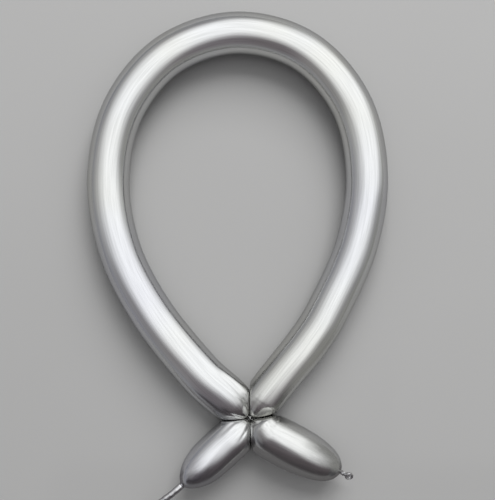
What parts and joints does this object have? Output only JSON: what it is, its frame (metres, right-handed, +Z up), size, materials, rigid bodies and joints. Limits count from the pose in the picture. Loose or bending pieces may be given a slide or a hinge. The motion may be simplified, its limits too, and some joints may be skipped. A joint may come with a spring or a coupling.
{
  "type": "modelling balloon twisted into a loop",
  "caption": "Long chrome-silver latex balloon twisted into a flat teardrop loop, with short bubbles below the twist, a tied nozzle and an unfilled tail.",
  "frame": {"origin": "on the surface the balloon lies on, in the middle of its outline's box", "axes": "+Z up from the surface, +Y from the twist towards the loop's round end, +X towards the nozzle's side"},
  "size_m": [0.357, 0.5947, 0.0561],
  "materials": {
    "inflated_latex": "chrome-effect latex, stretched thin, satin mirror",
    "slack_latex": "chrome-effect latex, unstretched, duller satin"
  },
  "bodies": {
    "loop": {"loop_bubble": "inflated_latex", "nozzle_side_twist": "slack_latex", "tail_side_twist": "slack_latex"},
    "nozzle_bubble": {"nozzle_bubble": "inflated_latex", "nozzle_knot": "slack_latex", "nozzle_stub": "slack_latex", "nozzle_lip": "slack_latex"},
    "tail_bubble": {"tail_bubble": "inflated_latex", "tail": "slack_latex"}
  },
  "joints": [
    {"name": "nozzle_bubble_turn", "type": "hinge", "parent": "loop", "child": "nozzle_bubble", "pos_m": [0.0301, -0.2018, 0.02806], "axis": [0.891, -0.454, 0], "range_deg": [-180, 180]},
    {"name": "tail_bubble_turn", "type": "hinge", "parent": "loop", "child": "tail_bubble", "pos_m": [-0.0014, -0.2047, 0.02508], "axis": [-0.7373, -0.6756, 0], "range_deg": [-180, 180]}
  ]
}
